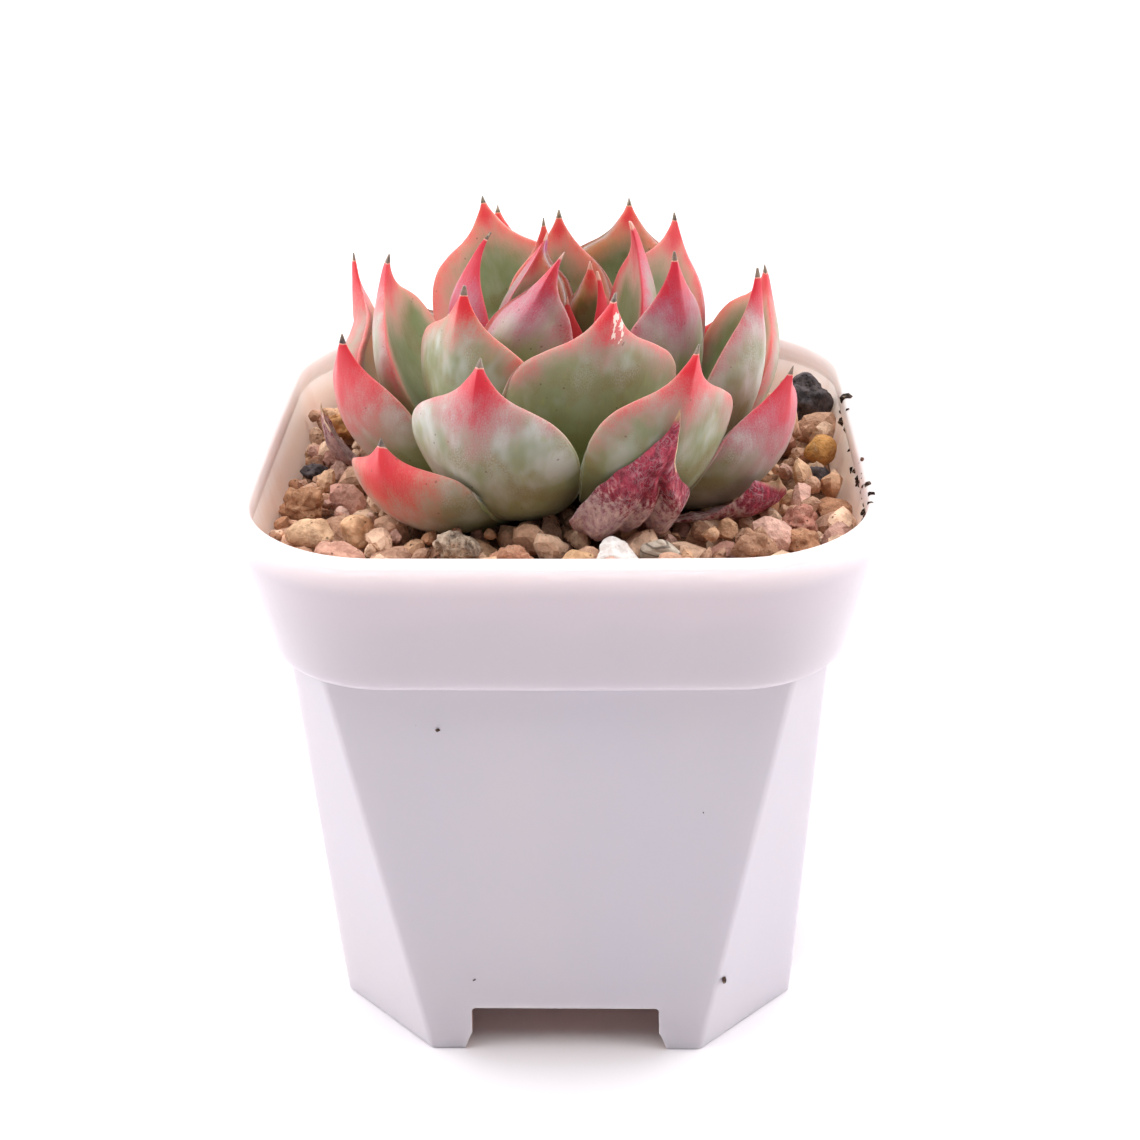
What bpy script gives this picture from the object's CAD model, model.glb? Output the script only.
import itertools
import math

import bpy
import numpy as np
from mathutils import Matrix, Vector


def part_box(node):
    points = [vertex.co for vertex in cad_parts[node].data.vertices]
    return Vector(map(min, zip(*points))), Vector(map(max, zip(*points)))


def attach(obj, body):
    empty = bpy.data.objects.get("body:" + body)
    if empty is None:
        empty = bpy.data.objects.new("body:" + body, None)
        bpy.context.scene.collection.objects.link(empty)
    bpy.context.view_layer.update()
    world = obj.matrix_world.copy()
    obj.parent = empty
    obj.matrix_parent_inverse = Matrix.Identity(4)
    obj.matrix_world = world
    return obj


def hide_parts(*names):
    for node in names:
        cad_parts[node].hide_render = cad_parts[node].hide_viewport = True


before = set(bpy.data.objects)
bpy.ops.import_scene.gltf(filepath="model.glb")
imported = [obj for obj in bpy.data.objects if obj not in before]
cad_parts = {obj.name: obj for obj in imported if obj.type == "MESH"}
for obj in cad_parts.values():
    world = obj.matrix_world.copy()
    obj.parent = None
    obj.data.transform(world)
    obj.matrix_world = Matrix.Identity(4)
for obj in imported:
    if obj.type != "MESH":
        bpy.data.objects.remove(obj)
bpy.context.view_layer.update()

# ---------------------------------------------------------------- the pot
# A square pot, injection-moulded in one piece of white plastic. A plain band stiffens the rim,
# the corners below it are cut off more and more towards the base, and the skirt under the floor
# has a gap in each side, so that the pot stands on its four corners.

MM = 0.001
# Sizes are in millimetres, and a half width runs from the middle to a side.
POT_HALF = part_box("pot")[1].x / MM
POT_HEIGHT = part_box("pot")[1].z / MM
BAND_BOTTOM = 54.4
BAND_FOOT_HALF = 33.5
BAND_FOOT_CORNER = 13.6
BAND_ROUND = 0.8
RIM_CORNER = 17.9
LIP = 2.5
LIP_ROUND, LIP_INNER_ROUND = 0.6, 0.4
BODY_TOP_HALF = 30.8
BODY_TOP_CUT = 4.2
BASE_HALF = 28.8
BASE_CUT = 12.0
BODY_EDGE = 1.3
FOOT_ROUND, FOOT_INNER_ROUND = 0.35, 0.3
WALL = 1.5
FLOOR_UNDERSIDE = 6.7
FLOOR_TOP = 8.1
GAP_HALF = 11.6
GAP_FOOT_HALF = 12.7
GAP_TOP = 6.65
DRAIN_RADIUS = 2.6
DRAIN_SPACING = 12.0
# How far the walls bow and the flash stands out, and the least angle of a sharp edge.
BOW, FLASH, SHARP_EDGE = 0.22, 0.16, 32
# A corner cut at 45 degrees takes this much less from a side for each millimetre of rounding.
CUT_SHARE = 2 - math.sqrt(2)
# Steps along a side, round half a corner's bend and along its cut.
SIDE_STEPS, BEND_STEPS, CUT_STEPS = 64, 12, 5


def lumps(points, size, seed):
    """Smooth bumps from -1 to 1 about one size apart: each corner of a lattice gets a random
    height, worked out from its own number, and the heights are eased between the corners."""
    place = np.asarray(points, float) / size + seed * 7.31
    corner = np.floor(place)
    share = place - corner
    share = share * share * (3 - 2 * share)
    total = np.zeros(place.shape[:-1])
    for step in itertools.product((0, 1), repeat=3):
        number = (corner + step) @ (127.1, 311.7, 74.7)
        height = np.sin(number) * 43758.5453
        weight = np.prod(np.where(step, share, 1 - share), axis=-1)
        total += weight * (height - np.floor(height))
    return 2 * total - 1


def ease(values, low, high):
    """0 below low, 1 above high, and an even slope that starts and ends level between them."""
    share = np.clip((np.asarray(values, float) - low) / (high - low), 0, 1)
    return share * share * (3 - 2 * share)


def section(height, half, cut, radius):
    """Levels of a square with its corners cut at 45 degrees and every edge rounded.

    Each point is a corner of the same outline drawn one radius further in, plus one radius along
    the direction that the outline faces there. It is worked out for a quarter and turned round."""
    slide = np.concatenate([np.linspace(0, 1, SIDE_STEPS + 1)[:-1],
                            np.ones(2 * BEND_STEPS + 1 + CUT_STEPS)])
    across = np.concatenate([np.zeros(SIDE_STEPS + BEND_STEPS + 1),
                             np.linspace(0, 1, CUT_STEPS + 1)[1:], np.ones(BEND_STEPS)])
    turn = np.concatenate([np.zeros(SIDE_STEPS), np.linspace(0, 45, BEND_STEPS + 1),
                           np.full(CUT_STEPS, 45.0), np.linspace(45, 90, BEND_STEPS + 1)[1:]])
    inner, leg = half - radius, cut - CUT_SHARE * radius
    height, inner, leg, radius = (np.asarray(v)[:, None] for v in (height, inner, leg, radius))
    turn = np.radians(turn)
    x = inner - leg * across + radius * np.cos(turn)
    y = (inner - leg) * (2 * slide - 1) + leg * across + radius * np.sin(turn)
    x, y = np.hstack([x, -y, -x, y]), np.hstack([y, x, -y, -x])
    return np.stack([x, y, np.broadcast_to(height, x.shape)], axis=-1)


def body_level(height, inset=0.0):
    """The tapering body below the band: height, half width, corner cut and edge radius."""
    height, inset = np.broadcast_arrays(np.atleast_1d(height), inset)
    share = height / BAND_BOTTOM
    half = BASE_HALF + (BODY_TOP_HALF - BASE_HALF) * share - inset
    cut = BASE_CUT + (BODY_TOP_CUT - BASE_CUT) * share - CUT_SHARE * inset
    return np.stack([height, half, cut, np.maximum(BODY_EDGE - inset, 0.5)])


def band_level(height, inset=0.0):
    """The band round the rim, whose corners are plain arcs."""
    height, inset = np.broadcast_arrays(np.atleast_1d(height), inset)
    share = (height - BAND_BOTTOM) / (POT_HEIGHT - LIP_ROUND - BAND_BOTTOM)
    half = BAND_FOOT_HALF + (POT_HALF - BAND_FOOT_HALF) * share
    radius = BAND_FOOT_CORNER + (RIM_CORNER - BAND_FOOT_CORNER) * share - inset
    return np.stack([height, half - inset, CUT_SHARE * radius + 0.3, radius])


def floor_levels(height, inset, shares):
    """Levels of a flat floor, each a share of its full width."""
    return body_level(np.full(len(shares), height), inset) * np.stack(
        [np.ones(len(shares)), shares, shares, shares])


def pot_levels():
    """The whole section, from under the middle of the floor, over the lip, to its upper side."""
    bend = np.radians(np.linspace(0, 90, 8))
    shares = np.linspace(0.06, 1.0, 10)
    foot, inner = bend[::2], bend[::3]
    return np.hstack([
        floor_levels(FLOOR_UNDERSIDE, WALL, shares),
        body_level(np.linspace(FLOOR_UNDERSIDE - 0.4, 0.4, 8), WALL),
        body_level(FOOT_INNER_ROUND - FOOT_INNER_ROUND * np.sin(inner),
                   WALL - FOOT_INNER_ROUND + FOOT_INNER_ROUND * np.cos(inner)),
        body_level(FOOT_ROUND - FOOT_ROUND * np.cos(foot), FOOT_ROUND - FOOT_ROUND * np.sin(foot)),
        body_level(np.linspace(0.9, BAND_BOTTOM, 44)),
        band_level(BAND_BOTTOM + BAND_ROUND - BAND_ROUND * np.cos(bend),
                   BAND_ROUND - BAND_ROUND * np.sin(bend)),
        band_level(np.linspace(BAND_BOTTOM + 1.3, POT_HEIGHT - LIP_ROUND - 0.25, 36)),
        band_level(POT_HEIGHT - LIP_ROUND * (1 - np.sin(bend)), LIP_ROUND * (1 - np.cos(bend))),
        band_level(POT_HEIGHT, 0.5 * LIP),
        band_level(POT_HEIGHT - LIP_INNER_ROUND * (1 - np.cos(bend)),
                   LIP - LIP_INNER_ROUND * (1 - np.sin(bend))),
        band_level(np.linspace(POT_HEIGHT - 1.2, POT_HEIGHT - 2.4, 4),
                   np.linspace(LIP, LIP - 0.4, 4)),
        band_level(np.linspace(POT_HEIGHT - 3.2, BAND_BOTTOM + 1.4, 14), WALL),
        body_level(np.linspace(BAND_BOTTOM - 1.0, FLOOR_TOP + 1.4, 24), WALL),
        body_level(FLOOR_TOP + 1.0 - np.sin(bend[1:]), WALL + 1.0 - np.cos(bend[1:])),
        floor_levels(FLOOR_TOP, WALL + 1.0, shares[-2::-1]),
    ])


def moulded(points):
    """The small faults of the mould: walls that bow a little between the corners, and a thin
    ragged flash along the outer edge of the lip."""
    x, y, z = np.moveaxis(points, -1, 0)
    level = points * (1, 1, 0)
    outward = level / np.linalg.norm(points[..., :2], axis=-1, keepdims=True)
    bow = BOW * lumps(points * (1, 1, 0.4), 26.0, 3) * ease(z, 4, 20)
    depth = POT_HEIGHT - z
    ragged = 1.1 + 0.8 * lumps(level, 3.4, 5) + 0.4 * lumps(level, 1.1, 6)
    side = ease(np.maximum(np.abs(x), np.abs(y)), POT_HALF - 1.2, POT_HALF - 0.6)
    corner = ease(np.abs(x) + np.abs(y), 2 * POT_HALF - 12.6, 2 * POT_HALF - 11.9)
    outside = np.maximum(side, corner)
    flash = FLASH * ease(ragged - depth, -0.12, 0.12) * outside * ease(depth, 0.15, 0.5)
    return points + outward * (bow + flash)[..., None]


def wrap_faces(rings, around):
    """The faces of a skin from a first point, over rings of points, to a last point."""
    ring = 1 + np.arange(rings * around).reshape(rings, around)
    beside = np.roll(ring, -1, axis=1)
    quads = np.stack([ring[:-1], beside[:-1], beside[1:], ring[1:]], axis=-1).reshape(-1, 4)
    first = np.stack([np.zeros(around, int), beside[0], ring[0]], axis=-1)
    last = np.stack([ring[-1], beside[-1], np.full(around, 1 + rings * around)], axis=-1)
    return [quads, first, last]


def closed_skin(rings):
    """The points of a skin in the order of wrap_faces: its two poles are the mean of the first
    ring and of the last one."""
    return np.concatenate([rings[:1].mean(axis=1), rings.reshape(-1, 3), rings[-1:].mean(axis=1)])


def new_mesh(name, points, faces, sharp_angle=None):
    """A mesh of points in millimetres and of arrays of faces, each array with its own number of
    corners. Faces that meet at more than sharp_angle degrees keep a sharp edge."""
    mesh = bpy.data.meshes.new(name)
    corners = np.concatenate([array.ravel() for array in faces])
    sizes = np.concatenate([np.full(len(array), array.shape[1]) for array in faces])
    mesh.vertices.add(len(points))
    mesh.vertices.foreach_set("co", (points * MM).astype(np.float32).ravel())
    mesh.loops.add(len(corners))
    mesh.loops.foreach_set("vertex_index", corners.astype(np.int32))
    mesh.polygons.add(len(sizes))
    mesh.polygons.foreach_set("loop_start", (np.cumsum(sizes) - sizes).astype(np.int32))
    mesh.update(calc_edges=True)
    mesh.shade_smooth()
    if sharp_angle:
        mesh.set_sharp_from_angle(angle=math.radians(sharp_angle))
    return mesh


def linked(name, data):
    """Puts a mesh, a lamp or a camera into the scene as an object."""
    holder = bpy.data.objects.new(name, data)
    bpy.context.scene.collection.objects.link(holder)
    return holder


def add_piece(mesh, material, slot, *nodes):
    """Shows a mesh as a piece of the object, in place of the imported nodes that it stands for."""
    mesh.materials.append(material)
    piece = linked(mesh.name, mesh)
    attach(piece, "root")
    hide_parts(*nodes)


def prism(outline, low, high):
    """A bar with a flat outline in x and y, from low to high along z."""
    count = len(outline)
    ends = [np.column_stack([outline, np.full(count, z)]) for z in (low, high)]
    ring = np.arange(count)
    beside = np.roll(ring, -1)
    sides = np.stack([ring, beside, beside + count, ring + count], axis=-1)
    return np.concatenate(ends), [sides, ring[None, ::-1], ring[None] + count]


def gap_outline():
    """Half the gap between two feet: upright above, splayed below, with a small round between."""
    bend = np.radians(np.linspace(0, 90, 5))
    side = [(-1.0, GAP_FOOT_HALF + 0.2), (0.0, GAP_FOOT_HALF), (2.1, GAP_HALF + 0.35),
            (2.7, GAP_HALF + 0.06)]
    top = (GAP_TOP - 0.5, GAP_HALF - 0.5) + 0.5 * np.column_stack([np.sin(bend), np.cos(bend)])
    half = np.concatenate([side, top])
    return np.concatenate([half, (half * (1, -1))[::-1]])[::-1]


def cut_openings(mesh):
    """Cuts the gaps between the feet and the drain holes out of the pot's mesh."""
    bar, bar_faces = prism(gap_outline(), -2 * POT_HALF, 2 * POT_HALF)
    z, x, y = bar.T
    spots = [(0, 0)] + [(DRAIN_SPACING * math.cos(a), DRAIN_SPACING * math.sin(a))
                        for a in np.radians((45, 135, 225, 315))]
    ring = np.radians(np.arange(0, 360, 10))
    circle = DRAIN_RADIUS * np.column_stack([np.cos(ring), np.sin(ring)])
    cutters = [(np.column_stack([x, y, z]), bar_faces), (np.column_stack([-y, x, z]), bar_faces)]
    cutters += [prism(circle + spot, FLOOR_UNDERSIDE - 2, FLOOR_TOP + 2) for spot in spots]
    whole = linked("pot_blank", mesh)
    helpers = [whole]
    for number, (points, faces) in enumerate(cutters):
        cutter = linked(f"cutter_{number}", new_mesh("cutter", points, faces))
        helpers.append(cutter)
        boolean = whole.modifiers.new(cutter.name, "BOOLEAN")
        boolean.operation = "DIFFERENCE"
        boolean.object = cutter
    bpy.context.view_layer.update()
    shell = bpy.data.meshes.new_from_object(
        whole.evaluated_get(bpy.context.evaluated_depsgraph_get()))
    for helper in helpers:
        bpy.data.objects.remove(helper)
    shell.name = "pot_shell"
    shell.shade_smooth()
    shell.set_sharp_from_angle(angle=math.radians(SHARP_EDGE))
    return shell


def paint(red, green, blue):
    """A colour given as a screen shows it, from 0 to 255, turned into the light it reflects."""
    shown = np.array((red, green, blue)) / 255
    light = np.where(shown < 0.04045, shown / 12.92, ((shown + 0.055) / 1.055) ** 2.4)
    return (*light, 1.0)


class Signal:
    """A number, a place or a colour that a shader works out at every point of a piece. +, - and *
    join it with a plain number or with another signal."""

    def __init__(self, tree, socket):
        self.tree, self.socket = tree, socket

    def output(self, name):
        """Another output of the node that it comes from."""
        return Signal(self.tree, self.socket.node.outputs[name])

    def __add__(self, other):
        return maths("ADD", self, other)

    def __sub__(self, other):
        return maths("SUBTRACT", self, other)

    def __mul__(self, other):
        return maths("MULTIPLY", self, other)


def connect(value, socket):
    """Links a signal to a socket, or stores a plain value in it."""
    if isinstance(value, Signal):
        value.tree.links.new(value.socket, socket)
    else:
        socket.default_value = value


def node(tree, kind, *values, **given):
    """Adds a shader node and returns its first output. The values fill its inputs in order. Of
    the named ones, those with a capital letter are inputs, and the others are settings."""
    made = tree.nodes.new("ShaderNode" + kind)
    for name, value in given.items():
        if name[0].islower():
            setattr(made, name, value)
        else:
            connect(value, made.inputs[name.replace("_", " ")])
    for value, socket in zip(values, made.inputs):
        connect(value, socket)
    return Signal(tree, made.outputs[0])


def maths(operation, *values, **settings):
    """Arithmetic on values, of which the first is a signal."""
    return node(values[0].tree, "Math", *values, operation=operation, **settings)


def blend(share, first, second):
    """Mixes two colours: only the first where the share is 0, and only the second where it is 1."""
    mix = share.tree.nodes.new("ShaderNodeMix")
    mix.data_type = "RGBA"
    for value, number in ((share, 0), (first, 6), (second, 7)):
        connect(value, mix.inputs[number])
    return Signal(share.tree, mix.outputs[2])


def coated(colour, *coats):
    """A colour with coats laid over it one by one, each a share of cover and its own colour."""
    for share, coat in coats:
        colour = blend(share, colour, coat)
    return colour


def spread(value, low, high, to_low=0.0, to_high=1.0):
    """Stretches a value from one range to another, easing in and out."""
    return node(value.tree, "MapRange", interpolation_type="SMOOTHSTEP", Value=value,
                From_Min=low, From_Max=high, To_Min=to_low, To_Max=to_high)


def scaled(value, factors):
    """The three numbers of a place or a colour, each multiplied by its own factor."""
    return node(value.tree, "VectorMath", value, factors, operation="MULTIPLY")


def noise(place, scale, detail=2.0, roughness=0.5):
    """Soft random patches. Three numbers for the scale stretch them."""
    if isinstance(scale, tuple):
        place, scale = scaled(place, scale), 1.0
    return node(place.tree, "TexNoise", Vector=place, Scale=scale, Detail=detail,
                Roughness=roughness)


def new_material(name, **inputs):
    """A material whose Principled shader has these plain values, and its shader tree."""
    material = bpy.data.materials.new(name)
    material.use_nodes = True
    shader = material.node_tree.nodes["Principled BSDF"]
    for key, value in inputs.items():
        shader.inputs[key.replace("_", " ")].default_value = value
    return material, material.node_tree


def finished(material, colour, relief, strength, depth, roughness=None):
    """A material with its colour, its relief, whose depth is in metres, and its roughness if
    that differs from place to place."""
    tree = material.node_tree
    bump = node(tree, "Bump", Height=relief, Strength=strength, Distance=depth)
    for name, value in (("Base Color", colour), ("Normal", bump), ("Roughness", roughness)):
        if value is not None:
            connect(value, tree.nodes["Principled BSDF"].inputs[name])
    return material


def plastic_material():
    """Cloudy lilac-white plastic that lets some light through, with dust and drips from the grit
    on its inner face."""
    material, tree = new_material(
        "white_plastic", Subsurface_Weight=0.7, Subsurface_Scale=0.0035,
        Subsurface_Radius=(1.0, 0.9, 0.88), Specular_IOR_Level=0.45)
    place = node(tree, "TexCoord").output("Object")
    clouds = noise(place, (45.0, 45.0, 28.0), 3.0)
    streaks = noise(place, (240.0, 240.0, 60.0), 3.0)
    grain = noise(place, 1500.0, 3.0)
    height = node(tree, "SeparateXYZ", place).output("Z") * (1 / MM)
    # How far out the surface lies, turned below 0 on the inner wall, which faces the middle.
    facing = node(tree, "VectorMath", scaled(place, (1.0, 1.0, 0.0)),
                  node(tree, "NewGeometry").output("Normal"), operation="DOT_PRODUCT")
    facing = facing.output("Value")
    inside = spread(facing, -0.006, -0.016)
    band = spread(height, BAND_BOTTOM - 2.0, BAND_BOTTOM + 3.0)
    dust = inside * spread(streaks, 0.5, 0.7, 0.0, 0.12)
    tide = inside * spread(height, POT_HEIGHT - 2.5, POT_HEIGHT - 6.0, 0.0, 0.4)
    lip = spread(height, POT_HEIGHT - 4.5, POT_HEIGHT - 0.5, 0.0, 0.8)
    beneath = (spread(facing, 0.006, 0.0)
               * spread(height, FLOOR_UNDERSIDE + 0.9, FLOOR_UNDERSIDE + 0.1))
    colour = coated(paint(204, 197, 202),
                    (spread(clouds, 0.2, 0.8), paint(200, 195, 204)),
                    (spread(streaks, 0.55, 0.8, 0.0, 0.08), paint(208, 198, 200)),
                    (band, paint(195, 187, 193)), (inside, paint(254, 247, 243)),
                    (dust, paint(176, 132, 104)), (tide, paint(204, 164, 140)),
                    (lip, paint(238, 228, 228)), (beneath, paint(164, 124, 112)))
    return finished(material, colour, grain, 0.12, 0.0001, spread(grain, 0.3, 0.7, 0.29, 0.35))


pot_rings = moulded(section(*pot_levels()))
pot_mesh = new_mesh("pot_blank", closed_skin(pot_rings), wrap_faces(*pot_rings.shape[:2]))
add_piece(cut_openings(pot_mesh), plastic_material(), "white_plastic", "pot")

# ---------------------------------------------------------------- the stem
# The short woody stem that every leaf grows from. It shows only between the leaves' bases, so
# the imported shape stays, with a finish of dry, cracked bark.

STEM_LOW, STEM_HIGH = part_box("stem")
AXIS = np.array(((STEM_LOW.x + STEM_HIGH.x) / 2, (STEM_LOW.y + STEM_HIGH.y) / 2, 0)) / MM
STEM_TOP = STEM_HIGH.z / MM


def bark_material():
    """Dry brown bark with fine upright cracks."""
    material, tree = new_material("bark", Roughness=0.85)
    cracks = noise(node(tree, "TexCoord").output("Object"), (900.0, 900.0, 300.0), 4.0, 0.6)
    colour = blend(spread(cracks, 0.35, 0.65), paint(88, 66, 46), paint(150, 128, 88))
    return finished(material, colour, cracks, 0.6, 0.0004)


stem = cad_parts["stem"]
stem.data.materials.clear()
stem.data.materials.append(bark_material())

# ---------------------------------------------------------------- the living leaves
# Thick, pointed leaves that grow round the stem in a spiral, the youngest in the middle. Each
# is one blade: nearly flat or hollow above, full below, with a dry thorn at its tip.

# One row a leaf, youngest first: direction the underside faces (degrees from +X), width,
# bluntness, sideways swing, bulge, how far the red runs down from the tip (millimetres), width
# of the red margin, the share of the leaf that the margin colours, then how mauve its red is
# and how much pale bloom it has (0 to 1).
LEAVES = {
    "heart_spike": (87, 5.0, 0.1, 0.0, 0.5, 20, 1.5, 1.0, 0.3, 0.0),
    "heart_left": (140, 4.0, 0.1, 0.0, 0.5, 20, 1.5, 1.0, 0.5, 0.0),
    "heart_right": (-16, 6.0, 0.1, 0.0, 1.5, 20, 1.5, 1.0, 0.5, 0.1),
    "heart_back": (75, 9.0, 0.2, 0.0, 1.0, 5.5, 1.2, 0.9, 0.1, 0.0),
    "inner_left": (132, 15.0, 0.3, 1.8, 1.0, 9, 2.2, 0.9, 0.8, 0.0),
    "inner_left_front": (-156, 12.5, 0.2, 0.0, 9.0, 18, 2.5, 0.9, 0.9, 0.0),
    "inner_front": (-120, 11.4, 0.5, -4.9, 3.0, 12, 3.0, 0.8, 0.9, 0.4),
    "inner_right": (15, 15.0, 0.4, 0.0, 3.5, 10, 2.0, 0.8, 0.8, 0.0),
    "inner_back": (93, 15.0, 0.3, 0.0, 1.0, 7, 4.0, 0.8, 0.2, 0.1),
    "middle_right": (-45, 15.0, 0.3, 0.0, 1.0, 13, 2.5, 0.8, 0.9, 0.6),
    "middle_left": (-134, 21.5, 0.7, -0.9, 1.0, 8, 3.8, 0.8, 0.1, 0.55),
    "middle_front": (-78, 20.5, 1.0, -2.5, 1.0, 8.5, 4.2, 0.6, 0.3, 0.3),
    "side_left": (171, 19.5, 0.5, 0.0, 2.5, 10.5, 2.2, 0.7, 0.4, 0.75),
    "middle_back": (99, 10.0, 0.5, 0.0, 1.0, 9, 2.8, 0.7, 0.3, 0.5),
    "middle_back_right": (38, 18.0, 0.5, 0.0, 1.0, 9, 4.5, 0.9, 0.5, 0.4),
    "side_right": (-24, 15.0, 0.4, 0.0, 0.0, 9, 2.4, 0.6, 0.6, 0.9),
    "side_right_back": (20, 18.0, 0.6, 0.0, 1.0, 8, 3.0, 0.8, 0.3, 0.3),
    "broad_back_left": (116, 21.0, 0.8, -1.5, 1.0, 7.5, 5.5, 0.9, 0.1, 0.4),
    "broad_back_right": (74, 21.0, 0.8, 0.0, 1.0, 7, 5.0, 0.9, 0.1, 0.4),
    "broad_front_left": (-112, 20.5, 0.7, -0.3, 3.0, 10.5, 3.0, 0.5, 0.5, 0.8),
    "broad_front_right": (-66, 17.5, 1.0, -3.0, 1.2, 10.5, 3.8, 0.6, 0.3, 0.6),
    "side_left_outer": (-146, 18.5, 0.3, 0.0, 0.0, 16.5, 2.4, 0.6, 0.3, 0.9),
    "side_left_back": (190, 12.0, 0.5, -1.5, -0.5, 15, 5.0, 0.9, 0.2, 0.3),
    "low_front_left": (-124, 18.0, 0.6, 2.0, 3.4, 11.5, 2.4, 0.5, 0.0, 0.75),
    "low_right": (-34, 17.5, 0.3, 0.0, -3.0, 14.5, 2.4, 0.6, 0.7, 0.95),
    "outer_back_left": (104, 17.0, 0.6, 0.0, 1.0, 12, 2.8, 0.8, 0.2, 0.3),
    "low_back_right": (46, 17.0, 0.6, 0.0, 0.5, 10, 2.8, 0.7, 0.4, 0.6),
    "low_back_left": (138, 18.0, 0.6, 0.0, 0.5, 10, 2.8, 0.7, 0.4, 0.6),
}
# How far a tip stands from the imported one, where the finished leaf is bent a little.
TIP_SHIFT = {
    "middle_left": (0.1, 0.0, 0.4),
    "low_back_right": (-1.0, 0.0, -5.0),
}
# Rings along a leaf, points round it, and the step of the coarser leaf that is used to find
# where the inner leaves press on it.
LEAF_RINGS, LEAF_AROUND, COARSE = 109, 72, 3
# The places across a leaf that are looked at, the deepest press, the gap that stays between two
# leaves, and how much a press falls off from one place to the next.
PRESS_ANGLES, DEEPEST_PRESS, PRESS_GAP, FADE = 13, 5.5, 0.4, 0.3
# A leaf's thickness, and how much thicker it is for each millimetre of its width.
THINNEST, THICKENING = 2.0, 0.14
# Its start: how far out from the stem's axis and how far below the stem's top, and how much more
# for each millimetre that its tip stands out.
START_OUT, START_DOWN = (2.0, 0.12), (-0.4, 0.27)
# The share of its thickness that it gives way by before it bends, and its uneven skin's depth.
LEAF_GIVE, UNEVEN = 0.35, 0.1
THORN = 1.3
# The youngest leaves end in a soft pale point, not in a dry thorn.
SOFT_HARDNESS = 0.4
SOFT_TIPS = ("heart_spike", "heart_left", "heart_right", "heart_back", "inner_left", "inner_front",
             "inner_right")
# One leaf was once hurt below its tip, and its sap has dried to a white crust. The scar's place
# and half its size: to the side, and down from the tip.
SCARRED_LEAF = "middle_front"
SCAR_PLACE, SCAR_SIZE = (1.0, 3.9), (0.8, 1.7)

# Half-width along a leaf, as a share of the full half-width, for the slender and the blunt leaf,
# and its thickness as a share of the full thickness.
SLENDER = ((0, .30), (.12, .50), (.3, .80), (.45, .97), (.55, 1), (.66, .93), (.74, .78),
           (.80, .60), (.85, .41), (.90, .23), (.95, .09), (1, .012))
BROAD = ((0, .30), (.12, .50), (.3, .78), (.45, .94), (.6, 1), (.70, .95), (.765, .83),
         (.81, .61), (.845, .37), (.88, .22), (.92, .125), (.96, .05), (1, .012))
FATNESS = ((0, .18), (.1, .36), (.3, .90), (.45, 1), (.6, .92), (.75, .66), (.84, .42),
           (.90, .27), (.95, .17), (1, .04))


def smooth_curve(points, at):
    """A curve through the points whose slope never overshoots between them."""
    x, y = np.array(points, float).T
    step = np.diff(x)
    slope = np.diff(y) / step
    tangent = np.concatenate([slope[:1], np.zeros(len(slope) - 1), slope[-1:]])
    rises = slope[:-1] * slope[1:]
    steady = rises > 0
    tangent[1:-1][steady] = 2 * rises[steady] / (slope[:-1] + slope[1:])[steady]
    span = np.clip(np.searchsorted(x, at, side="right") - 1, 0, len(step) - 1)
    t = (at - x[span]) / step[span]
    return ((1 + 2 * t) * (1 - t) ** 2 * y[span] + t * (1 - t) ** 2 * step[span] * tangent[span]
            + t * t * (3 - 2 * t) * y[span + 1] - t * t * (1 - t) * step[span] * tangent[span + 1])


def unit(vectors):
    """The same directions, each one long."""
    return vectors / np.linalg.norm(vectors, axis=-1, keepdims=True)


def along_leaf(count):
    """Shares along a leaf, closer together towards its base and its tip."""
    return (1 - np.cos(np.linspace(0, math.pi, count))) / 2


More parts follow.
